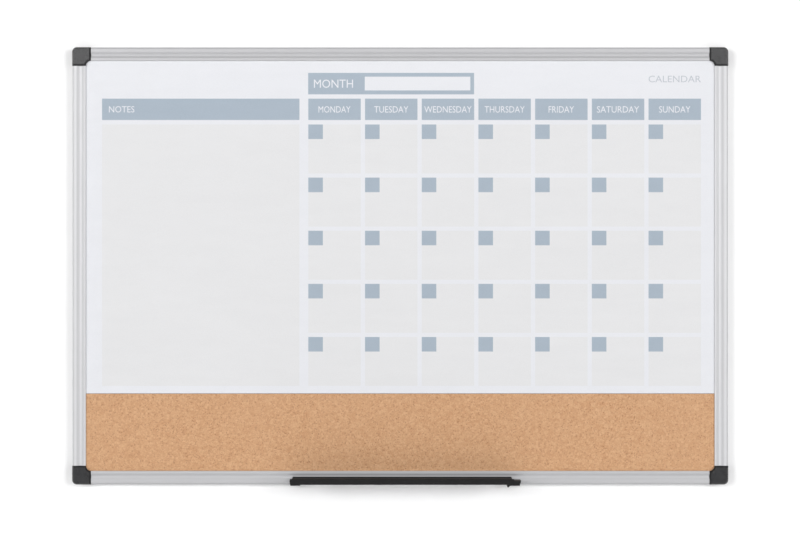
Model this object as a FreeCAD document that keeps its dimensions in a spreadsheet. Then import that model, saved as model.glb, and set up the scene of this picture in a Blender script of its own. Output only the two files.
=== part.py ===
import FreeCAD, Part
import os
import re

from FreeCAD import Placement, Rotation, Vector
import Sketcher

# Wall-hung combination board: a dry-erase sheet above a cork strip, in an aluminium frame with
# moulded corners and a clip-on pen tray that slides along the bottom rail.
# Row frame: X to the right, Z up, the front faces -Y and the wall is the plane Y = 0. The origin is
# the centre of the four wall-screw holes, which is also the centre of the frame. Millimetres.

SIZES = {
    # the frame outside, and how far it stands off the wall
    "board_width": 900,
    "board_height": 600,
    "frame_depth": 14,
    # rail section: "in" runs from the rail's outer edge inwards, "out" from the wall outwards
    "rail_face": 18.6,
    "rail_wall": 1.3,
    "web_in": 14,
    "back_lip_in": 18,
    "back_lip_out": 3.4,
    "groove_back": 4.9,
    "groove_front": 12.1,
    "flute_in": 10.9,
    "flute_width": 7,
    "flute_deep": 1.2,
    "rib_round": 5,
    "inner_rib_round": 3,
    "rebate_in": 1.8,
    "rebate_out": 3,
    "edge_round": 2.8,
    "lip_round": 0.9,
    # the panel that the frame's groove holds
    "panel_edge_in": 14.5,
    "panel_back": 5,
    "panel_thick": 7,
    "sheet_thick": 0.4,
    "backing_thick": 0.3,
    "cork_thick": 3,
    "join_height": -175.5,
    "join_gap": 0.5,
    # corners: moulded block and the cap over it, both square in plan
    "corner_size": 25.7,
    "corner_round": 6.5,
    "corner_notch": 7.1,
    "block_floor": 4.9,
    "block_shoulder": 8,
    "collar_top": 12,
    "collar_in": 1.8,
    "collar_cut": 3.8,
    "leg_in": 1.5,
    "leg_wide": 11,
    "leg_back": 4.5,
    "leg_thick": 6.9,
    "leg_long": 28,
    "leg_taper": 1,
    "screw_in": 9,
    "screw_hole": 4.5,
    "screw_head": 8.6,
    "screw_head_floor": 6,
    "cap_gap": 0.3,
    "cap_back": 8.2,
    "cap_front": 16,
    "cap_skin": 1.5,
    "cap_plate": 3.5,
    "cap_bevel": 2,
    "cap_bevel_round": 0.4,
    "head_room": 11,
    "head_roof": 1.8,
    "peg_near": 6,
    "peg_far": 19.5,
    "peg_width": 3,
    "peg_tip": 7.6,
    "socket_width": 3.2,
    "socket_floor": 7,
    # pen tray: "up" is measured from the bottom edge of the frame, "out" from the wall
    "tray_length": 300,
    "tray_left": -147.5,
    "nose_out": 13.5,
    "nose_wide": 1.7,
    "nose_low": 8.9,
    "nose_top": 10.6,
    "ledge_top": 9.8,
    "ledge_thick": 1.8,
    "lip_out": 64.5,
    "lip_thick": 2.4,
    "lip_top": 14.6,
    "lip_low": 6.9,
    "lip_fillet": 2,
    "lip_edge_round": 1,
    "lip_foot_round": 0.8,
    "guide_back": 20,
    "guide_front": 34,
    "guide_wall": 1.2,
    "guide_room": 1.4,
    "guide_hook": 2.2,
    # clips that carry the tray: they slide into the guide and grip the rail's outer rib
    "clip_width": 13,
    "clip_left": -150.5,
    "clip_right": 151.2,
    "clip_gap": 0.3,
    "clip_front": 2,
    "clip_arm": 1.2,
    "clip_top": 6.3,
    "head_gap": 0.1,
    "head_thick": 1.2,
    "head_side": 0.3,
    "neck_side": 2.6,
    "strut_thick": 1.5,
    "tail_reach": 3.2,
    "tail_drop": 1.4,
    "tail_wide": 8,
    "tail_bead": 2.6,
    "clip_edge_round": 0.7,
}

# Quarter turns about Y that carry a piece from the bottom or bottom-left to each side and corner.
SIDES = {"bottom": 0, "right": -90, "top": 180, "left": 90}
CORNERS = {"bottom_left": 0, "bottom_right": -90, "top_right": 180, "top_left": 90}
CORNER_AT = {"bottom_left": (-1, -1), "bottom_right": (1, -1), "top_right": (1, 1), "top_left": (-1, 1)}
SIDE_AT = {"bottom": (0, -1), "right": (1, 0), "top": (0, 1), "left": (-1, 0)}
# A local frame with Z out from the wall and Y up the board, laid into the row frame.
UPRIGHT = Rotation(Vector(1, 0, 0), 90)

doc = FreeCAD.newDocument("PlannerBoard")
sheet = doc.addObject("Spreadsheet::Sheet", "Sizes")
for row, (alias, size) in enumerate(SIZES.items(), start=1):
    sheet.set(f"A{row}", alias.replace("_", " "))
    sheet.set(f"B{row}", str(size))
    sheet.setAlias(f"B{row}", alias)
doc.recompute()


# ---- helpers ----------------------------------------------------------------------------------


def bound(text):
    """An expression in which every word is a cell of the Sizes sheet."""
    return re.sub(r"[a-z][a-z_]*", r"Sizes.\g<0>", text)


def new_body(name):
    body = doc.addObject("PartDesign::Body", name)
    body.Label = name
    return body


def sketch_on(body, name, role, offset="0"):
    """A sketch on one of the body's own origin planes, moved along the plane's normal."""
    sketch = body.newObject("Sketcher::SketchObject", name)
    planes = [p for p in body.Origin.OriginFeatures if p.Role == role]
    sketch.AttachmentSupport = [(planes[0], "")]
    sketch.MapMode = "FlatFace"
    sketch.setExpression("AttachmentOffset.Base.z", bound(offset))
    return sketch


def polygon(sketch, corners):
    """A closed outline of straight lines. Each corner is a pair of expressions."""
    first = sketch.GeometryCount
    ring = Part.makeCircle(30).discretize(Number=len(corners) + 1)
    for start, end in zip(ring[:-1], ring[1:]):
        sketch.addGeometry(Part.LineSegment(start, end), False)
    for i, (across, up) in enumerate(corners):
        line, after = first + i, first + (i + 1) % len(corners)
        sketch.addConstraint(Sketcher.Constraint("Coincident", line, 2, after, 1))
        for kind, value in (("DistanceX", across), ("DistanceY", up)):
            place = sketch.addConstraint(Sketcher.Constraint(kind, line, 1, 1.0))
            sketch.setExpression(f"Constraints[{place}]", bound(value))


def rectangle(sketch, left, low, right, high):
    polygon(sketch, [(left, low), (right, low), (right, high), (left, high)])


def circle(sketch, across, up, width):
    """A circle of the given diameter."""
    ring = sketch.addGeometry(Part.Circle(Vector(1, 1, 0), Vector(0, 0, 1), 1), False)
    for kind, value in (("DistanceX", across), ("DistanceY", up)):
        place = sketch.addConstraint(Sketcher.Constraint(kind, ring, 3, 1.0))
        sketch.setExpression(f"Constraints[{place}]", bound(value))
    place = sketch.addConstraint(Sketcher.Constraint("Diameter", ring, 2.0))
    sketch.setExpression(f"Constraints[{place}]", bound(width))


def pad(body, sketch, length, backwards=False, middle=False):
    before = body_volume(body)
    feature = body.newObject("PartDesign::Pad", "Pad")
    feature.Profile = sketch
    feature.SideType = "Symmetric" if middle else "One side"
    feature.Reversed = backwards
    feature.setExpression("Length", bound(length))
    body.Tip = feature
    doc.recompute()
    if feature.Shape.Volume <= before:
        raise RuntimeError(f"{body.Label}: {sketch.Name} adds nothing")
    return feature


def pocket(body, sketch, length=None, backwards=False):
    """Cuts along the sketch's negative normal, or its positive one when backwards.
    With no length it goes through everything."""
    before = body_volume(body)
    feature = body.newObject("PartDesign::Pocket", "Pocket")
    feature.Profile = sketch
    feature.Reversed = backwards
    if length is None:
        feature.SideType = "Symmetric"
        feature.Type = "ThroughAll"
    else:
        feature.setExpression("Length", bound(length))
    body.Tip = feature
    doc.recompute()
    if feature.Shape.Volume >= before:
        raise RuntimeError(f"{body.Label}: {sketch.Name} cuts nothing")
    return feature


def body_volume(body):
    return 0.0 if body.Shape.isNull() else body.Shape.Volume


def edges(feature, test):
    """The names of the feature's edges that pass a test on the edge's bounding box."""
    found = [f"Edge{i}" for i, e in enumerate(feature.Shape.Edges, start=1) if test(e.BoundBox)]
    if not found:
        raise RuntimeError(f"{feature.Label}: no edge fits the test")
    return found


def dress(body, kind, test, **sizes):
    """A fillet or chamfer on the edges that pass the test."""
    base = body.Tip
    feature = body.newObject(f"PartDesign::{kind}", kind)
    feature.Base = (base, edges(base, test))
    for name, value in sizes.items():
        feature.setExpression(name, bound(value))
    body.Tip = feature
    doc.recompute()
    return feature


def near(a, b):
    return abs(a - b) < 0.01


def runs_along(b, up, out):
    """True for an edge's box that lies along local X at this local Y and Z."""
    return b.XLength > 1 and near(b.YMin, up) and near(b.YMax, up) and near(b.ZMin, out) and near(b.ZMax, out)


def lay(body, turn, across, up):
    """Stands a body up against the wall, turned about Y. Its local origin goes to a fraction of the
    frame's half width and half height."""
    body.Placement = Placement(Vector(), Rotation(Vector(0, 1, 0), turn) * UPRIGHT)
    body.setExpression("Placement.Base.x", bound(f"{across} * board_width / 2"))
    body.setExpression("Placement.Base.z", bound(f"{up} * board_height / 2"))


# ---- frame rails ------------------------------------------------------------------------------


def make_rail(side):
    """One length of the extrusion: outer rib, shallow flute and inner lip in front, a hollow chamber,
    the groove for the panel, and a rebate along the outer back edge. Local X runs along the rail, Y in,
    Z out."""
    along = "board_width" if side in ("top", "bottom") else "board_height"
    body = new_body(f"rail_{side}")
    section = sketch_on(body, "RailSection", "YZ_Plane")
    polygon(
        section,
        [
            ("0", "rebate_out"),
            ("rebate_in", "rebate_out"),
            ("rebate_in", "0"),
            ("web_in", "0"),
            ("web_in", "back_lip_out"),
            ("back_lip_in", "back_lip_out"),
            ("back_lip_in", "groove_back"),
            ("web_in", "groove_back"),
            ("web_in", "groove_front"),
            ("rail_face", "groove_front"),
            ("rail_face", "frame_depth"),
            ("0", "frame_depth"),
        ],
    )
    pad(body, section, f"{along} - 2 * corner_size", middle=True)
    chamber = sketch_on(body, "Chamber", "YZ_Plane")
    polygon(
        chamber,
        [
            ("rail_wall", "rebate_out + rail_wall"),
            ("rebate_in + rail_wall", "rebate_out + rail_wall"),
            ("rebate_in + rail_wall", "rail_wall"),
            ("web_in - rail_wall", "rail_wall"),
            ("web_in - rail_wall", "frame_depth - flute_deep - rail_wall"),
            ("rail_wall", "frame_depth - flute_deep - rail_wall"),
        ],
    )
    pocket(body, chamber)
    # the flute is a shallow slice of a wide circle:
    # radius = (half width squared + depth squared) / (2 depth)
    across = "(flute_width ^ 2 / 4 + flute_deep ^ 2) / flute_deep"
    flute = sketch_on(body, "Flute", "YZ_Plane")
    circle(flute, "flute_in", f"frame_depth - flute_deep + {across} / 2", across)
    pocket(body, flute)
    face, depth = SIZES["rail_face"], SIZES["frame_depth"]
    rib = SIZES["flute_in"] - SIZES["flute_width"] / 2
    inner_rib = SIZES["flute_in"] + SIZES["flute_width"] / 2
    dress(body, "Fillet", lambda b: runs_along(b, rib, depth), Radius="rib_round")
    dress(body, "Fillet", lambda b: runs_along(b, inner_rib, depth), Radius="inner_rib_round")
    dress(body, "Fillet", lambda b: near(b.YMax, 0) and near(b.ZMin, depth), Radius="edge_round")
    dress(body, "Fillet", lambda b: near(b.YMin, face) and near(b.ZMin, depth), Radius="lip_round")
    lay(body, SIDES[side], *SIDE_AT[side])
    return body


# ---- moulded corners --------------------------------------------------------------------------


def corner_plan(body, name, base, inner, top):
    """A square prism with the frame's round outer corner. Local X and Y run in from the corner, Z out."""
    plan = sketch_on(body, name, "XY_Plane", base)
    rectangle(plan, "0", "0", inner, inner)
    pad(body, plan, f"{top} - {base}")
    dress(body, "Fillet", lambda b: near(b.XMax, 0) and near(b.YMax, 0), Radius="corner_round")


def notch(body):
    """The concave quarter circle that rounds the panel's visible corner."""
    cut = sketch_on(body, "Notch", "XY_Plane")
    circle(cut, "corner_size", "corner_size", "2 * corner_notch")
    pocket(body, cut)


def make_corner_block(corner):
    """The load-bearing corner: a floor on the wall, a shoulder for the cap, a collar that fills the
    cap, two legs in the rails' chambers, a step for the panel's corner, the hole for the wall screw
    and sockets for the cap's pegs."""
    body = new_body(f"corner_block_{corner}")
    corner_plan(body, "Plan", "0", "corner_size", "block_shoulder")
    step = sketch_on(body, "PanelStep", "XY_Plane", "block_floor")
    rectangle(step, "web_in", "web_in", "corner_size + 1", "corner_size + 1")
    pocket(body, step, "frame_depth", backwards=True)
    collar = sketch_on(body, "Collar", "XY_Plane", "block_shoulder")
    polygon(
        collar,
        [
            ("collar_in", "corner_size"),
            ("collar_in", "collar_in + collar_cut"),
            ("collar_in + collar_cut", "collar_in"),
            ("corner_size", "collar_in"),
            ("corner_size", "web_in"),
            ("web_in", "web_in"),
            ("web_in", "corner_size"),
        ],
    )
    pad(body, collar, "collar_top - block_shoulder")
    notch(body)
    leg = ("leg_in", "leg_back", "leg_in + leg_wide", "leg_back + leg_thick")
    for name, plane, reverse in (("LegAlong", "YZ_Plane", False), ("LegUp", "XZ_Plane", True)):
        start = "-corner_size" if reverse else "corner_size"
        section = sketch_on(body, name, plane, start)
        rectangle(section, *leg)
        pad(body, section, "leg_long", backwards=reverse)
    end = SIZES["corner_size"] + SIZES["leg_long"]
    dress(body, "Chamfer", lambda b: near(b.XMin, end) or near(b.YMin, end), Size="leg_taper")
    hole = sketch_on(body, "ScrewHole", "XY_Plane")
    circle(hole, "screw_in", "screw_in", "screw_hole")
    pocket(body, hole)
    head = sketch_on(body, "ScrewHead", "XY_Plane", "screw_head_floor")
    circle(head, "screw_in", "screw_in", "screw_head")
    pocket(body, head, "frame_depth", backwards=True)
    sockets = sketch_on(body, "Sockets", "XY_Plane", "socket_floor")
    circle(sockets, "peg_far", "peg_near", "socket_width")
    circle(sockets, "peg_near", "peg_far", "socket_width")
    pocket(body, sockets, "frame_depth", backwards=True)
    lay(body, CORNERS[corner], *CORNER_AT[corner])
    return body


def make_corner_cap(corner):
    """The press-on cover: a bevelled plate, a skirt down the two outer sides and two pegs."""
    body = new_body(f"corner_cap_{corner}")
    corner_plan(body, "Plan", "cap_back", "corner_size - cap_gap", "cap_front")
    inside = sketch_on(body, "Inside", "XY_Plane", "cap_front - cap_plate")
    polygon(
        inside,
        [
            ("cap_skin", "corner_size + 1"),
            ("cap_skin", "cap_skin + collar_cut"),
            ("cap_skin + collar_cut", "cap_skin"),
            ("corner_size + 1", "cap_skin"),
            ("corner_size + 1", "corner_size + 1"),
        ],
    )
    pocket(body, inside, "frame_depth")
    notch(body)
    front = SIZES["cap_front"]
    dress(body, "Chamfer", lambda b: near(b.ZMin, front), Size="cap_bevel")
    dress(body, "Fillet", lambda b: near(b.ZMin, front), Radius="cap_bevel_round")
    room = sketch_on(body, "HeadRoom", "XY_Plane", "cap_front - head_roof")
    circle(room, "screw_in", "screw_in", "head_room")
    pocket(body, room, "cap_plate")
    pegs = sketch_on(body, "Pegs", "XY_Plane", "peg_tip")
    circle(pegs, "peg_far", "peg_near", "peg_width")
    circle(pegs, "peg_near", "peg_far", "peg_width")
    pad(body, pegs, "cap_front - cap_plate - peg_tip")
    lay(body, CORNERS[corner], *CORNER_AT[corner])
    return body


# ---- panel ------------------------------------------------------------------------------------


def make_board(name, back, thick, low, high):
    """A flat layer of the panel between two heights. back is its distance from the wall."""
    board = doc.addObject("Part::Box", name)
    board.Label = name
    for prop, text in (
        ("Length", "board_width - 2 * panel_edge_in"),
        ("Width", thick),
        ("Height", f"({high}) - ({low})"),
        ("Placement.Base.x", "panel_edge_in - board_width / 2"),
        ("Placement.Base.y", f"-({back}) - ({thick})"),
        ("Placement.Base.z", low),
    ):
        board.setExpression(prop, bound(text))
    return board


def make_panel():
    """Steel writing sheet on a fibre core above, cork on a thinner core below, and one backing sheet
    behind both."""
    bottom, top = "panel_edge_in - board_height / 2", "board_height / 2 - panel_edge_in"
    over, under = "join_height + join_gap / 2", "join_height - join_gap / 2"
    core = "panel_thick - backing_thick"
    core_back = "panel_back + backing_thick"
    front = "panel_back + panel_thick"
    return [
        make_board("writing_sheet", f"{front} - sheet_thick", "sheet_thick", over, top),
        make_board("core_board_upper", core_back, f"{core} - sheet_thick", over, top),
        make_board("cork_strip", f"{front} - cork_thick", "cork_thick", bottom, under),
        make_board("core_board_lower", core_back, f"{core} - cork_thick", bottom, under),
        make_board("backing_sheet", "panel_back", "backing_thick", bottom, top),
    ]


# ---- pen tray ---------------------------------------------------------------------------------


def make_tray_ledge():
    """Extruded pen ledge. A nose along its back edge sits in the bottom rail's flute, a lip stops the
    pens, and two hooked ribs underneath make the guide for the clips. Local X runs along the rail, Y up,
    Z out."""
    body = new_body("tray_ledge")
    floor = "ledge_top - ledge_thick"
    section = sketch_on(body, "LedgeSection", "YZ_Plane", "tray_left")
    polygon(
        section,
        [
            (floor, "frame_depth + clip_gap"),
            ("nose_low", "frame_depth + clip_gap"),
            ("nose_low", "nose_out"),
            ("nose_top", "nose_out"),
            ("nose_top", "nose_out + nose_wide"),
            ("ledge_top", "nose_out + nose_wide"),
            ("ledge_top", "lip_out - lip_thick"),
            ("lip_top", "lip_out - lip_thick"),
            ("lip_top", "lip_out"),
            ("lip_low", "lip_out"),
            ("lip_low", "lip_out - lip_thick"),
            (floor, "lip_out - lip_thick"),
        ],
    )
    pad(body, section, "tray_length")
    low = f"{floor} - guide_room"
    ribs = sketch_on(body, "GuideRibs", "YZ_Plane", "tray_left")
    for wall, inner, hook in (
        ("guide_back - guide_wall", "guide_back", "guide_back + guide_hook"),
        ("guide_front + guide_wall", "guide_front", "guide_front - guide_hook"),
    ):
        polygon(
            ribs,
            [
                (floor, wall),
                (floor, inner),
                (low, inner),
                (low, hook),
                (f"{low} - guide_wall", hook),
                (f"{low} - guide_wall", wall),
            ],
        )
    pad(body, ribs, "tray_length")
    top, root, foot = SIZES["lip_top"], SIZES["ledge_top"], SIZES["lip_low"]
    front, inside = SIZES["lip_out"], SIZES["lip_out"] - SIZES["lip_thick"]
    dress(body, "Fillet", lambda b: near(b.YMin, top) and b.XLength > 1, Radius="lip_edge_round")
    dress(body, "Fillet", lambda b: runs_along(b, root, inside), Radius="lip_fillet")
    for out in (front, inside):
        dress(body, "Fillet", lambda b, o=out: runs_along(b, foot, o), Radius="lip_foot_round")
    lay(body, 0, 0, -1)
    return body


def make_tray_clip(name, left, tail):
    """A spring clip: a head in the ledge's guide, a strut back to the rail, a plate in front of the
    rail's outer rib, an arm under the rail and a hook in the rebate at its back. The right one ends in a
    curled tail."""
    body = new_body(name)
    ceiling = "ledge_top - ledge_thick - head_gap"
    head_low = f"{ceiling} - head_thick"
    strut_top = "ledge_top - ledge_thick - guide_room - guide_wall - head_gap"
    plate_back, plate_front = "frame_depth + clip_gap", "frame_depth + clip_gap + clip_front"
    neck_back = "guide_back + guide_hook + neck_side"
    neck_front = "guide_front - guide_hook - neck_side"
    hook_front, hook_back = "rebate_out - clip_gap", "rebate_out - clip_gap - clip_front"
    section = sketch_on(body, "ClipSection", "YZ_Plane", left)
    polygon(
        section,
        [
            (ceiling, "guide_back + head_side"),
            (ceiling, "guide_front - head_side"),
            (head_low, "guide_front - head_side"),
            (head_low, neck_front),
            (f"{strut_top} - strut_thick", neck_front),
            (f"{strut_top} - strut_thick", plate_front),
            ("-clip_gap - clip_arm", plate_front),
            ("-clip_gap - clip_arm", hook_back),
            ("rebate_in - clip_gap", hook_back),
            ("rebate_in - clip_gap", hook_front),
            ("-clip_gap", hook_front),
            ("-clip_gap", plate_back),
            ("clip_top", plate_back),
            ("clip_top", plate_front),
            (strut_top, plate_front),
            (strut_top, neck_back),
            (head_low, neck_back),
            (head_low, "guide_back + head_side"),
        ],
    )
    pad(body, section, "clip_width")
    front = SIZES["frame_depth"] + SIZES["clip_gap"] + SIZES["clip_front"]
    for height in (SIZES["clip_top"], -SIZES["clip_gap"] - SIZES["clip_arm"]):
        dress(body, "Fillet", lambda b, h=height: runs_along(b, h, front), Radius="clip_edge_round")
    if tail:
        arm_low = "-clip_gap - clip_arm"
        strip = sketch_on(body, "TailStrip", "XY_Plane", plate_front)
        polygon(
            strip,
            [
                (left, arm_low),
                (left, "-clip_gap"),
                (f"{left} - tail_reach", "-clip_gap - tail_drop"),
                (f"{left} - tail_reach", f"{arm_low} - tail_drop"),
            ],
        )
        pad(body, strip, "tail_wide", backwards=True)
        bead = sketch_on(body, "TailBead", "XY_Plane", plate_front)
        circle(bead, f"{left} - tail_reach", "-clip_gap - clip_arm / 2 - tail_drop", "tail_bead")
        pad(body, bead, "tail_wide", backwards=True)
    lay(body, 0, 0, -1)
    return body


# ---- build, test and write --------------------------------------------------------------------

pieces = [make_rail(side) for side in SIDES]
pieces += [make_corner_block(corner) for corner in CORNERS]
pieces += [make_corner_cap(corner) for corner in CORNERS]
pieces += make_panel()
pieces.append(make_tray_ledge())
pieces.append(make_tray_clip("tray_clip_left", "clip_left", tail=False))
pieces.append(make_tray_clip("tray_clip_right", "clip_right", tail=True))
doc.recompute()

for thing in doc.Objects:
    if "Invalid" in thing.State or "Error" in thing.State:
        raise RuntimeError(f"{thing.Label} failed: {thing.State}")
for piece in pieces:
    shape = piece.Shape
    if shape.isNull() or not shape.isValid() or len(shape.Solids) != 1:
        raise RuntimeError(f"{piece.Label} isn't one valid solid")

os.makedirs("parts", exist_ok=True)
for piece in pieces:
    piece.Shape.exportStep(f"parts/{piece.Label}.step")
    print(f"{piece.Label}: {piece.Shape.Volume / 1000:.2f} cm3")
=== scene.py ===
import math
import random

import bmesh
import bpy
import numpy as np
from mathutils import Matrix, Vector, kdtree
from mathutils.geometry import delaunay_2d_cdt


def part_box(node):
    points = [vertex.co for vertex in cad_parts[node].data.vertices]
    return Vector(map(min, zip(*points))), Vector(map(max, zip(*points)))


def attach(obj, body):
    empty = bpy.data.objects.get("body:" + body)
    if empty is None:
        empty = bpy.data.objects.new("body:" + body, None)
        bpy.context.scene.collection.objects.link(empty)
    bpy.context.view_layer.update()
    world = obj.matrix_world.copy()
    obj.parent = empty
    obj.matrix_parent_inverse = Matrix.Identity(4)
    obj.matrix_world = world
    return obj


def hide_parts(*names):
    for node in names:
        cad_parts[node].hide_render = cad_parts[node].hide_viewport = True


# Wall-hung planner board with a cork strip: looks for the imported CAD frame. Metres, Z up, the front
# faces -Y and the wall is the plane y = 0. Lengths given in millimetres are named *_mm or go through MM.
# The scales of noises and cells count features to the metre.
MM = 0.001
MOST_NOISE = (0.3, 0.7)  # where nearly all of a noise's values lie
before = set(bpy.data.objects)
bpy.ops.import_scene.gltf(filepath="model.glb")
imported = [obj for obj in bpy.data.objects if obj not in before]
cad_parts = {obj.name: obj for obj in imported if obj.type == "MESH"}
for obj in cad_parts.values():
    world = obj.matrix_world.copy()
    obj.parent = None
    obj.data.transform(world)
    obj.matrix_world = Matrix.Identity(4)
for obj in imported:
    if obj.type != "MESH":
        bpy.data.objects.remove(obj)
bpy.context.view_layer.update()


# ---- materials --------------------------------------------------------------------------------


def srgb(red, green, blue):
    """A linear colour from the usual 0 to 255 values."""
    def linear(v):
        v /= 255
        return v / 12.92 if v <= 0.04045 else ((v + 0.055) / 1.055) ** 2.4
    return (linear(red), linear(green), linear(blue), 1.0)


def scaled(colour, factor, lift=0.0):
    """The colour with each of its parts times a factor, plus a lift, and no more than white."""
    return tuple(min(1.0, part * factor + lift) for part in colour[:3]) + (1.0,)


class Look:
    """A material under construction: one Principled shader and the nodes that feed it."""

    MIX_FIRST, MIX_SECOND, MIX_RESULT = 6, 7, 2  # the colour sockets of a Mix node, which share their names

    def __init__(self, name, **constants):
        self.material = bpy.data.materials.new(name)
        self.material.use_nodes = True
        self.tree = self.material.node_tree
        self.tree.nodes.clear()
        self.shader = self.add("ShaderNodeBsdfPrincipled")
        output = self.add("ShaderNodeOutputMaterial")
        self.link(self.shader.outputs[0], output.inputs["Surface"])
        for socket, value in constants.items():
            self.shader.inputs[socket.replace("_", " ")].default_value = value
        self.place = self.add("ShaderNodeTexCoord").outputs["Object"]

    def add(self, kind, **settings):
        node = self.tree.nodes.new(kind)
        for name, value in settings.items():
            setattr(node, name, value)
        return node

    def link(self, out, into):
        self.tree.links.new(out, into)

    def stretched(self, scale):
        """The row frame's coordinates, in metres, times a scale along each axis."""
        node = self.add("ShaderNodeMapping")
        node.inputs["Scale"].default_value = scale
        self.link(self.place, node.inputs["Vector"])
        return node.outputs[0]

    def noise(self, scale, detail=3.0, rough=0.5, stretch=None):
        node = self.add("ShaderNodeTexNoise")
        node.inputs["Scale"].default_value = scale
        node.inputs["Detail"].default_value = detail
        node.inputs["Roughness"].default_value = rough
        self.link(self.stretched(stretch) if stretch else self.place, node.inputs["Vector"])
        return node.outputs["Fac"]

    def cells(self, scale, feature="F1", output="Distance"):
        node = self.add("ShaderNodeTexVoronoi", feature=feature)
        node.inputs["Scale"].default_value = scale
        self.link(self.place, node.inputs["Vector"])
        return node.outputs[output]

    def remap(self, value, source, target):
        """value, clamped to the source range, taken to the target range."""
        node = self.add("ShaderNodeMapRange")
        for name, number in zip(("From Min", "From Max", "To Min", "To Max"), (*source, *target)):
            node.inputs[name].default_value = number
        self.link(value, node.inputs["Value"])
        return node.outputs["Result"]

    def mix(self, amount, first, second):
        """first and second are colours or outputs."""
        node = self.add("ShaderNodeMix", data_type="RGBA")
        self.feed(amount, node.inputs["Factor"])
        self.feed(first, node.inputs[self.MIX_FIRST])
        self.feed(second, node.inputs[self.MIX_SECOND])
        return node.outputs[self.MIX_RESULT]

    def split(self, value, kind="Color"):
        """The three outputs of a colour, or of a point with kind XYZ."""
        node = self.add(f"ShaderNodeSeparate{kind}")
        self.link(value, node.inputs[0])
        return node.outputs

    def feed(self, value, socket):
        if isinstance(value, bpy.types.NodeSocket):
            self.link(value, socket)
        else:
            socket.default_value = value

    def math(self, operation, *values):
        node = self.add("ShaderNodeMath", operation=operation)
        for value, socket in zip(values, node.inputs):
            self.feed(value, socket)
        return node.outputs[0]

    def colour(self, value):
        self.feed(value, self.shader.inputs["Base Color"])
        return self

    def roughness(self, value):
        self.feed(value, self.shader.inputs["Roughness"])
        return self

    def bump(self, height, depth_mm):
        """Adds a bump of this full depth. Later calls go on top of earlier ones."""
        node = self.add("ShaderNodeBump")
        node.inputs["Strength"].default_value = 1.0
        node.inputs["Distance"].default_value = depth_mm * MM
        self.link(height, node.inputs["Height"])
        normal = self.shader.inputs["Normal"]
        if normal.is_linked:
            self.link(normal.links[0].from_socket, node.inputs["Normal"])
        self.link(node.outputs[0], normal)
        return self


RIB_CREST = 4.3 * MM  # from the frame's outer edge to the crest of the outer rib
RIB_PITCH = 6.9 * MM
DRAW_LINES, BROAD_BANDS = 3200.0, 260.0  # across the extrusion
ALONG_LINES, ALONG_BANDS = 2.0, 0.5      # along it, where they hardly change


def anodised_aluminium(name, along_x, dull, bright):
    """Satin extrusion: fine draw lines along its length, painted light and shade in bands that follow its
    ribs and flute, and a few handling marks. The painted bands run with the distance in from the frame's
    outer edge."""
    look = Look(name, Metallic=0.3, Specular_IOR_Level=0.3)
    if along_x:
        lines, bands = (ALONG_LINES, DRAW_LINES, DRAW_LINES), (ALONG_BANDS, BROAD_BANDS, BROAD_BANDS)
        across, outer = "Z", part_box("rail_top")[1][2]
    else:
        lines, bands = (DRAW_LINES, DRAW_LINES, ALONG_LINES), (BROAD_BANDS, BROAD_BANDS, ALONG_BANDS)
        across, outer = "X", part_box("rail_right")[1][0]
    fine = look.noise(1.0, detail=2.0, stretch=lines)
    broad = look.noise(1.0, detail=2.0, stretch=bands)
    cloudy = look.noise(14.0, detail=4.0)
    inward = look.math("SUBTRACT", outer, look.math("ABSOLUTE", look.split(look.place, "XYZ")[across]))
    turn = look.math("MULTIPLY", look.math("SUBTRACT", inward, RIB_CREST), math.tau / RIB_PITCH)
    # painted light: lighter bands on the ribs' crests and darker ones on their slopes and in the flute,
    # standing in for the light and shade of the profile
    painted_rib_light = look.remap(look.math("COSINE", turn), (-1.0, 1.0), (0.0, 1.0))
    base = look.mix(painted_rib_light, dull, bright)
    base = look.mix(look.remap(fine, MOST_NOISE, (0.0, 0.3)), base, bright)
    look.colour(look.mix(look.remap(broad, (0.35, 0.65), (0.0, 0.25)), base, dull))
    look.roughness(look.math("ADD", look.remap(fine, MOST_NOISE, (0.44, 0.54)),
                             look.remap(cloudy, MOST_NOISE, (0.0, 0.06))))
    look.bump(fine, depth_mm=0.006).bump(cloudy, depth_mm=0.02)
    return look.material


def black_plastic(name, tone, rough, grain_mm=0.5, along_x=False, gloss=0.5):
    """Black plastic, moulded with a fine texture, or extruded with faint lines along X."""
    look = Look(name, IOR=1.5, Specular_IOR_Level=gloss)
    if along_x:
        texture = look.noise(1.0, detail=2.0, stretch=(3.0, 900.0, 900.0))
    else:
        texture = look.cells(1.0 / (grain_mm * MM))
    dust = look.noise(220.0, detail=5.0, rough=0.65)
    cloudy = look.noise(30.0, detail=3.0)
    lighter = scaled(tone, 1.5, lift=0.006)
    look.colour(look.mix(look.remap(dust, (0.45, 0.8), (0.0, 0.4)), tone, lighter))
    look.roughness(look.math("ADD", look.remap(cloudy, MOST_NOISE, (rough - 0.03, rough + 0.03)),
                             look.remap(dust, (0.5, 0.8), (0.0, 0.05))))
    look.bump(texture, depth_mm=0.03).bump(cloudy, depth_mm=0.06)
    return look.material


BEVEL_SHADE_ENDS = 0.05 * MM    # behind the cap's flat front
BEVEL_SHADE_STARTS = 0.15 * MM


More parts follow.
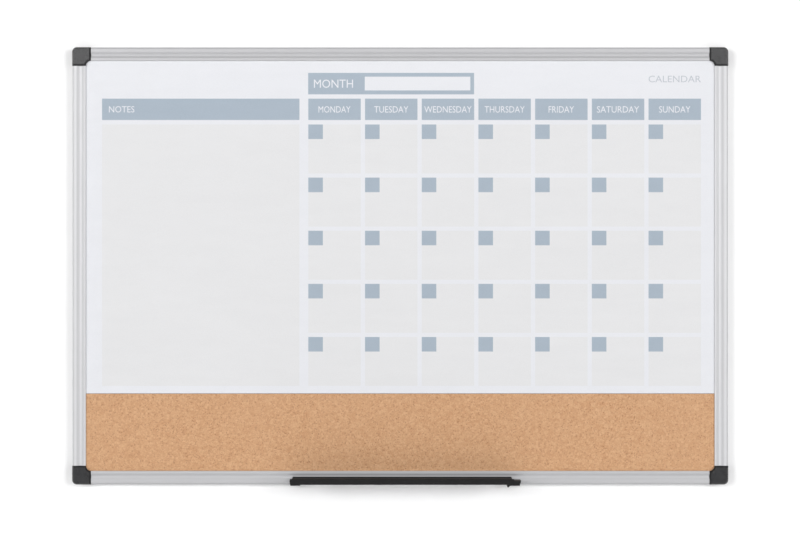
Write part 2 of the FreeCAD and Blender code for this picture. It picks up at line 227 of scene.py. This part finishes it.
def cap_plastic(name, plateau, rim):
    """Black plastic of the caps: a finely textured flat front, and a smooth bevel round it that is painted
    darker as painted shade.
    """
    look = Look(name, IOR=1.5, Specular_IOR_Level=0.75)
    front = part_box("corner_cap_top_left")[0][1]
    depth = look.split(look.place, "XYZ")["Y"]
    flat = look.remap(depth, (front + BEVEL_SHADE_STARTS, front + BEVEL_SHADE_ENDS), (0.0, 1.0))
    grain = look.cells(2200.0)
    cloudy = look.noise(160.0, detail=4.0, rough=0.6)
    # painted shade: the bevel takes the darker rim colour
    tone = look.mix(flat, rim, plateau)
    look.colour(look.mix(look.remap(cloudy, (0.35, 0.75), (0.0, 0.35)), tone, scaled(plateau, 1.5)))
    look.roughness(look.math("ADD", look.remap(cloudy, MOST_NOISE, (0.24, 0.3)),
                             look.remap(grain, (0.2, 0.7), (0.0, 0.04))))
    look.bump(grain, depth_mm=0.02).bump(cloudy, depth_mm=0.02)
    return look.material


def lacquer(name, tone):
    """Printed and clear-coated steel: slight orange peel, faint haze where markers were wiped off."""
    look = Look(name, IOR=1.5, Specular_IOR_Level=0.2, Coat_Weight=0.14, Coat_Roughness=0.12)
    haze = look.noise(5.0, detail=4.0, rough=0.6, stretch=(1.0, 1.0, 2.6))
    wipes = look.noise(1.0, detail=3.0, rough=0.55, stretch=(16.0, 60.0, 60.0))
    peel = look.noise(260.0, detail=2.0)
    speck = look.noise(900.0, detail=2.0)
    look.colour(look.mix(look.remap(haze, (0.35, 0.7), (0.0, 1.0)), tone, scaled(tone, 0.985)))
    look.roughness(look.math("ADD", look.remap(wipes, (0.3, 0.75), (0.26, 0.28)),
                             look.remap(speck, (0.4, 0.7), (0.0, 0.02))))
    look.bump(peel, depth_mm=0.006)
    return look.material


GRANULES, CRUMBS = 330.0, 760.0  # to the metre


def cork(name):
    """Pressed granules: each has its own tone, with dark bark flecks, pale grains and seams between."""
    look = Look(name, IOR=1.4, Specular_IOR_Level=0.25)
    granule_tone = look.split(look.cells(GRANULES, output="Color"))[0]
    crumb_tone, crumb_bark, _ = look.split(look.cells(CRUMBS, output="Color"))
    seams = look.cells(GRANULES, feature="DISTANCE_TO_EDGE")
    flecks = look.noise(240.0, detail=4.0, rough=0.7)
    cloudy = look.noise(9.0, detail=4.0)
    tone = look.mix(granule_tone, srgb(194, 146, 107), srgb(211, 167, 129))
    tone = look.mix(look.math("MULTIPLY", crumb_tone, 0.5), tone, srgb(219, 179, 140))
    tone = look.mix(look.remap(crumb_bark, (0.88, 1.0), (0.0, 0.6)), tone, srgb(146, 98, 64))
    tone = look.mix(look.remap(flecks, (0.62, 0.75), (0.0, 0.4)), tone, srgb(166, 114, 76))
    tone = look.mix(look.remap(seams, (0.0, 0.09), (0.3, 0.0)), tone, srgb(154, 106, 70))
    tone = look.mix(look.remap(cloudy, MOST_NOISE, (0.0, 0.22)), tone, srgb(208, 166, 130))
    look.colour(tone)
    look.roughness(look.remap(flecks, MOST_NOISE, (0.82, 0.95)))
    look.bump(look.math("ADD", look.remap(seams, (0.0, 0.12), (0.0, 1.0)), crumb_tone), depth_mm=0.12)
    return look.material


def fibreboard(name):
    """Raw pressed fibre: matted short strands."""
    look = Look(name, IOR=1.4)
    strands = look.noise(1.0, detail=4.0, rough=0.7, stretch=(380.0, 900.0, 620.0))
    mats = look.cells(420.0)
    look.colour(look.mix(look.remap(strands, MOST_NOISE, (0.0, 1.0)), srgb(128, 98, 70), srgb(172, 142, 108)))
    look.roughness(look.remap(mats, (0.0, 0.6), (0.78, 0.95)))
    look.bump(strands, depth_mm=0.15)
    return look.material


def galvanised(name):
    """Zinc-coated sheet: large dull spangles."""
    look = Look(name, Metallic=1.0)
    spangle_tone, spangle_gloss, _ = look.split(look.cells(110.0, output="Color"))
    frost = look.noise(160.0, detail=4.0, rough=0.6)
    tone = look.mix(spangle_tone, srgb(176, 180, 184), srgb(196, 199, 203))
    look.colour(look.mix(look.remap(frost, (0.4, 0.7), (0.0, 0.5)), tone, srgb(186, 189, 193)))
    look.roughness(look.math("ADD", look.remap(spangle_gloss, (0.0, 1.0), (0.42, 0.58)),
                             look.remap(frost, MOST_NOISE, (0.0, 0.08))))
    look.bump(frost, depth_mm=0.02)
    return look.material


def stage_paint(name, tone):
    """Smooth pale paint for the floor and the wall."""
    look = Look(name, IOR=1.4)
    cloudy = look.noise(3.0, detail=4.0)
    look.colour(look.mix(look.remap(cloudy, MOST_NOISE, (0.0, 1.0)), tone, scaled(tone, 0.97)))
    look.roughness(look.remap(look.noise(60.0), MOST_NOISE, (0.75, 0.85)))
    return look


def dress(node, material):
    """Gives a CAD node its finished material."""
    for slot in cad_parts[node].material_slots:
        slot.material = material


rails_across = anodised_aluminium("anodised_across", True, srgb(186, 186, 188), srgb(193, 193, 195))
# painted light: the uprights get lighter colours than the rails across, standing in for the side light that
# their draw lines spread towards the viewer
rails_upright = anodised_aluminium("anodised_upright", False, srgb(188, 188, 190), srgb(212, 212, 214))
# the second colour is painted shade on the caps' bevels
caps_black = cap_plastic("cap_black", srgb(32, 32, 34), srgb(11, 11, 12))
blocks_black = black_plastic("block_black", srgb(38, 38, 39), 0.55, grain_mm=0.6)
ledge_black = black_plastic("ledge_black", srgb(26, 26, 27), 0.6, along_x=True, gloss=0.2)
clips_black = black_plastic("clip_black", srgb(34, 34, 35), 0.55, gloss=0.3)
core_brown = fibreboard("core_fibre")
backing_zinc = galvanised("backing_zinc")

for side in ("bottom", "top"):
    dress(f"rail_{side}", rails_across)
for side in ("left", "right"):
    dress(f"rail_{side}", rails_upright)
for corner in ("bottom_left", "bottom_right", "top_right", "top_left"):
    dress(f"corner_block_{corner}", blocks_black)
    dress(f"corner_cap_{corner}", caps_black)
dress("tray_ledge", ledge_black)
dress("tray_clip_left", clips_black)
dress("tray_clip_right", clips_black)
dress("core_board_upper", core_brown)
dress("core_board_lower", core_brown)
dress("backing_sheet", backing_zinc)


# ---- the printed writing sheet ----------------------------------------------------------------

WHITE, CELL, BLOCK, TITLE = range(4)

# The monthly planner's layout, in millimetres from the centre of the frame.
COLUMN_LEFT, COLUMN_PITCH, COLUMN_WIDTH = -126.2, 77.87, 72.0
ROW_TOP, ROW_PITCH, ROW_HEIGHT = 194.1, 72.95, 67.2
DAY_SQUARE = 20.0
HEADER_LOW, HEADER_HIGH = 200.3, 229.6
NOTES_LEFT, NOTES_RIGHT, NOTES_LOW = -409.5, -138.4, -165.0
MONTH_BOX = (-126.4, 235.5, 101.4, 265.0)
MONTH_SLOT = (-48.7, 240.9, 96.3, 259.8)
DAY_WIDTHS = {"MONDAY": 44, "TUESDAY": 47, "WEDNESDAY": 65, "THURSDAY": 55, "FRIDAY": 35, "SATURDAY": 58,
              "SUNDAY": 43}
DAY_CAPITALS, DAY_BASE = 8.9, 210.4
WEEKS = 5
CURVE_STEPS = 3       # to each bend of a letter's outline
MERGE_MM = 1e-4       # outline points nearer than this become one
INSIDE_BATCH = 2000   # points tested together


def rectangle(left, low, right, high):
    """Outline points and edges of a rectangle."""
    points = np.array([(left, low), (right, low), (right, high), (left, high)], float)
    return points, np.array([(0, 1), (1, 2), (2, 3), (3, 0)])


def lettering(words, cap_height, base, width, left=None, centre=None, right=None):
    """Outline points and edges of a line of capitals in the plain built-in face. One of left, centre and
    right places it."""
    line = bpy.data.curves.new("lettering", "FONT")
    line.body = words
    line.resolution_u = CURVE_STEPS
    holder = bpy.data.objects.new("lettering", line)
    bpy.context.scene.collection.objects.link(holder)
    bpy.context.view_layer.update()
    mesh = bpy.data.meshes.new_from_object(holder.evaluated_get(bpy.context.evaluated_depsgraph_get()))
    points = np.empty(len(mesh.vertices) * 3)
    mesh.vertices.foreach_get("co", points)
    points = points.reshape(-1, 3)[:, :2]
    uses = {}
    for polygon in mesh.polygons:
        for key in polygon.edge_keys:
            uses[key] = uses.get(key, 0) + 1
    edges = np.array(sorted(key for key, count in uses.items() if count == 1))
    bpy.data.objects.remove(holder)
    bpy.data.curves.remove(line)
    bpy.data.meshes.remove(mesh)
    low, high = points.min(0), points.max(0)
    points = (points - low) / (high - low) * (width, cap_height)
    if left is None:
        left = right - width if centre is None else centre - width / 2
    return points + (left, base), edges


def inside(points, outline):
    """For each point, whether it lies inside the outline, by counting crossings."""
    corners, edges = outline
    a, b = corners[edges[:, 0]], corners[edges[:, 1]]
    result = np.zeros(len(points), bool)
    box_low, box_high = corners.min(0), corners.max(0)
    near = np.where(((points > box_low) & (points < box_high)).all(1))[0]
    for start in range(0, len(near), INSIDE_BATCH):
        part = near[start:start + INSIDE_BATCH]
        x, y = points[part, 0][:, None], points[part, 1][:, None]
        spans = (a[:, 1] > y) != (b[:, 1] > y)
        rise = np.where(b[:, 1] == a[:, 1], 1.0, b[:, 1] - a[:, 1])
        crossing = a[:, 0] + (y - a[:, 1]) * (b[:, 0] - a[:, 0]) / rise
        result[part] = (spans & (x < crossing)).sum(1) % 2 == 1
    return result


def planner_regions():
    """(ink, outline) pairs in the order they are printed: a later one covers an earlier one."""
    regions = [(BLOCK, rectangle(NOTES_LEFT, HEADER_LOW, NOTES_RIGHT, HEADER_HIGH)),
               (CELL, rectangle(NOTES_LEFT, NOTES_LOW, NOTES_RIGHT, ROW_TOP)),
               (BLOCK, rectangle(*MONTH_BOX)),
               (WHITE, rectangle(*MONTH_SLOT)),
               (WHITE, lettering("NOTES", cap_height=8.7, base=210.6, width=35.0, left=-400.0)),
               (WHITE, lettering("MONTH", cap_height=11.5, base=244.4, width=53.7, left=-118.5)),
               (TITLE, lettering("CALENDAR", cap_height=9.2, base=252.0, width=72.0, right=413.0))]
    for column, (day, width) in enumerate(DAY_WIDTHS.items()):
        left = COLUMN_LEFT + column * COLUMN_PITCH
        regions.append((BLOCK, rectangle(left, HEADER_LOW, left + COLUMN_WIDTH, HEADER_HIGH)))
        regions.append((WHITE, lettering(day, DAY_CAPITALS, DAY_BASE, width, centre=left + COLUMN_WIDTH / 2)))
        for row in range(WEEKS):
            top = ROW_TOP - row * ROW_PITCH
            regions.append((CELL, rectangle(left, top - ROW_HEIGHT, left + COLUMN_WIDTH, top)))
            regions.append((BLOCK, rectangle(left, top - DAY_SQUARE, left + DAY_SQUARE, top)))
    return regions


def finish_piece(name, shell, materials):
    """Turns a bmesh into an object with these materials."""
    mesh = bpy.data.meshes.new(name)
    shell.to_mesh(mesh)
    shell.free()
    for material in materials:
        mesh.materials.append(material)
    piece = bpy.data.objects.new(name, mesh)
    bpy.context.scene.collection.objects.link(piece)
    return piece


def close_back(shell, rim, depth):
    """Runs walls from a front rim back to y = depth and closes the back."""
    back = [shell.verts.new((v.co.x, depth, v.co.z)) for v in rim]
    for i in range(len(rim)):
        j = (i + 1) % len(rim)
        shell.faces.new([rim[j], rim[i], back[i], back[j]])
    shell.faces.new(back[::-1])
    bmesh.ops.recalc_face_normals(shell, faces=shell.faces)


def make_planner_sheet():
    """The steel sheet. Its front face is cut along every printed edge, in one plane."""
    low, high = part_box("writing_sheet")
    x0, z0, x1, z1 = (v / MM for v in (low[0], low[2], high[0], high[2]))
    regions = planner_regions()
    edge_points, edge_pairs, count = [], [], 0
    for _, (points, pairs) in [(WHITE, rectangle(x0, z0, x1, z1))] + regions:
        edge_points.append(points)
        edge_pairs.append(pairs + count)
        count += len(points)
    flat = [Vector(p) for p in np.concatenate(edge_points).tolist()]
    links = [tuple(int(i) for i in pair) for pair in np.concatenate(edge_pairs)]
    points, _, faces, *_ = delaunay_2d_cdt(flat, links, [], 0, MERGE_MM)
    points = np.array([tuple(p) for p in points])
    middles = np.array([points[list(face)].mean(0) for face in faces])
    ink = np.full(len(faces), WHITE)
    for colour, outline in regions:
        ink[inside(middles, outline)] = colour
    shell = bmesh.new()
    front = [shell.verts.new((x * MM, low[1], z * MM)) for x, z in points]
    for face, colour in zip(faces, ink):
        # seen from the front, +X is to the right and +Z up, so an outline that turns left faces -Y
        made = shell.faces.new([front[i] for i in face])
        made.material_index = int(colour)
    corners = []
    for x, z in ((x0, z0), (x1, z0), (x1, z1), (x0, z1)):
        corners.append(front[int(np.abs(points - (x, z)).sum(1).argmin())])
    close_back(shell, corners, high[1])
    return finish_piece("planner_sheet", shell, [lacquer_white, lacquer_cell, lacquer_block, lacquer_title])


lacquer_white = lacquer("lacquer_white", srgb(224, 225, 229))
lacquer_cell = lacquer("lacquer_cell", srgb(221, 221, 222))
lacquer_block = lacquer("lacquer_block", srgb(164, 176, 188))
lacquer_title = lacquer("lacquer_title", srgb(186, 190, 197))

planner = make_planner_sheet()
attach(planner, "board")
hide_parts("writing_sheet")


# ---- the cork strip ---------------------------------------------------------------------------

CORK_STEP = 1.3 * MM
GRANULE = 2.7 * MM
CORK_RELIEF = 0.28 * MM
GRANULE_SHARE, SEAM_SHARE = 0.45, 0.55  # of the relief
SEAM_REACH = 0.35 * GRANULE             # how far a seam slopes into its granules
CORK_SEED = 7


def make_cork():
    """The cork strip with a pressed and sanded granule relief on its front face."""
    low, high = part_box("cork_strip")
    rng = random.Random(CORK_SEED)
    across = round((high[0] - low[0]) / CORK_STEP)
    up = round((high[2] - low[2]) / CORK_STEP)
    seeds = []
    columns, rows = int((high[0] - low[0]) / GRANULE) + 2, int((high[2] - low[2]) / GRANULE) + 2
    for i in range(columns):
        for j in range(rows):
            x = low[0] + (i + rng.random()) * GRANULE
            z = low[2] + (j + rng.random()) * GRANULE
            seeds.append((x, z, rng.random() ** 2))
    tree = kdtree.KDTree(len(seeds))
    for i, (x, z, _) in enumerate(seeds):
        tree.insert((x, 0, z), i)
    tree.balance()
    shell = bmesh.new()
    grid = []
    for j in range(up + 1):
        z = low[2] + (high[2] - low[2]) * j / up
        line = []
        for i in range(across + 1):
            x = low[0] + (high[0] - low[0]) * i / across
            (_, first, near_one), (_, _, near_two) = tree.find_n((x, 0, z), 2)
            seam = 1 - min(1.0, (near_two - near_one) / SEAM_REACH)
            sunk = CORK_RELIEF * (GRANULE_SHARE * seeds[first][2] + SEAM_SHARE * seam * seam)
            on_rim = i in (0, across) or j in (0, up)
            line.append(shell.verts.new((x, low[1] + (0 if on_rim else sunk), z)))
        grid.append(line)
    for j in range(up):
        for i in range(across):
            shell.faces.new([grid[j][i], grid[j][i + 1], grid[j + 1][i + 1], grid[j + 1][i]])
    left, right = [line[0] for line in grid], [line[-1] for line in grid]
    close_back(shell, grid[0][:-1] + right[:-1] + grid[-1][:0:-1] + left[:0:-1], high[1])
    return finish_piece("cork_granules", shell, [cork("cork")])


cork_piece = make_cork()
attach(cork_piece, "board")
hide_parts("cork_strip")


# ---- stage, light and camera ------------------------------------------------------------------

FLOOR_LEVEL = -1.4
WALL_REACH = 7.0    # from the board's middle, sideways and up
FLOOR_REACH = 30.0
WALL_GAP = 0.4 * MM


def make_plane(name, corners, material):
    mesh = bpy.data.meshes.new(name)
    mesh.from_pydata(corners, [], [range(len(corners))])
    mesh.materials.append(material)
    plane = bpy.data.objects.new(name, mesh)
    bpy.context.scene.collection.objects.link(plane)
    return plane


def one_sided(look):
    """Lets the wall be seen from the front only, so that the board's back can be looked at."""
    clear = look.add("ShaderNodeBsdfTransparent")
    choose = look.add("ShaderNodeMixShader")
    behind = look.add("ShaderNodeNewGeometry").outputs["Backfacing"]
    output = next(n for n in look.tree.nodes if n.type == "OUTPUT_MATERIAL")
    look.link(behind, choose.inputs["Fac"])
    look.link(look.shader.outputs[0], choose.inputs[1])
    look.link(clear.outputs[0], choose.inputs[2])
    look.link(choose.outputs[0], output.inputs["Surface"])
    return look.material


make_plane("floor", [(-FLOOR_REACH, -FLOOR_REACH, FLOOR_LEVEL), (FLOOR_REACH, -FLOOR_REACH, FLOOR_LEVEL),
                     (FLOOR_REACH, FLOOR_REACH, FLOOR_LEVEL), (-FLOOR_REACH, FLOOR_REACH, FLOOR_LEVEL)],
           stage_paint("stage_floor", srgb(202, 202, 203)).material)
wall = make_plane("wall", [(-WALL_REACH, WALL_GAP, FLOOR_LEVEL), (WALL_REACH, WALL_GAP, FLOOR_LEVEL),
                           (WALL_REACH, WALL_GAP, WALL_REACH), (-WALL_REACH, WALL_GAP, WALL_REACH)],
                  one_sided(stage_paint("stage_wall", srgb(253, 253, 253))))
wall.visible_shadow = False  # so that the lamp behind it lights the board's back


def soft_light(name, at, size, power):
    """A rectangular softbox that faces the middle of the board."""
    lamp = bpy.data.lights.new(name, "AREA")
    lamp.shape = "RECTANGLE"
    lamp.size, lamp.size_y = size
    lamp.energy = power
    holder = bpy.data.objects.new(name, lamp)
    holder.location = at
    holder.rotation_euler = (-Vector(at)).to_track_quat("-Z", "Y").to_euler()
    bpy.context.scene.collection.objects.link(holder)


# metres and watts
soft_light("softbox_left", at=(-3.2, -3.8, 0.7), size=(1.6, 1.8), power=101.5)
soft_light("softbox_right", at=(3.2, -3.8, 0.7), size=(1.6, 1.8), power=99.5)
soft_light("front_top", at=(-0.3, -6.0, 1.6), size=(4.0, 1.0), power=48.0)
soft_light("behind", at=(1.4, 3.6, 1.2), size=(2.4, 2.0), power=60.0)

WORLD_STRENGTH = 0.3
world = bpy.data.worlds.new("studio")
world.use_nodes = True
background = world.node_tree.nodes["Background"]
background.inputs["Color"].default_value = (1.0, 1.0, 1.0, 1.0)
background.inputs["Strength"].default_value = WORLD_STRENGTH
bpy.context.scene.world = world
bpy.context.scene.view_settings.view_transform = "Standard"

# straight in front of the board
CAMERA_BACK = 2.0
CAMERA_X, CAMERA_Z = -0.3 * MM, -1.6 * MM
SENSOR_MM, LENS_MM = 36.0, 65.6
lens = bpy.data.cameras.new("camera")
lens.sensor_width = SENSOR_MM
lens.lens = LENS_MM
camera = bpy.data.objects.new("camera", lens)
camera.location = (CAMERA_X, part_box("rail_top")[0][1] - CAMERA_BACK, CAMERA_Z)
camera.rotation_euler = (math.radians(90), 0, 0)
bpy.context.scene.collection.objects.link(camera)
bpy.context.scene.camera = camera
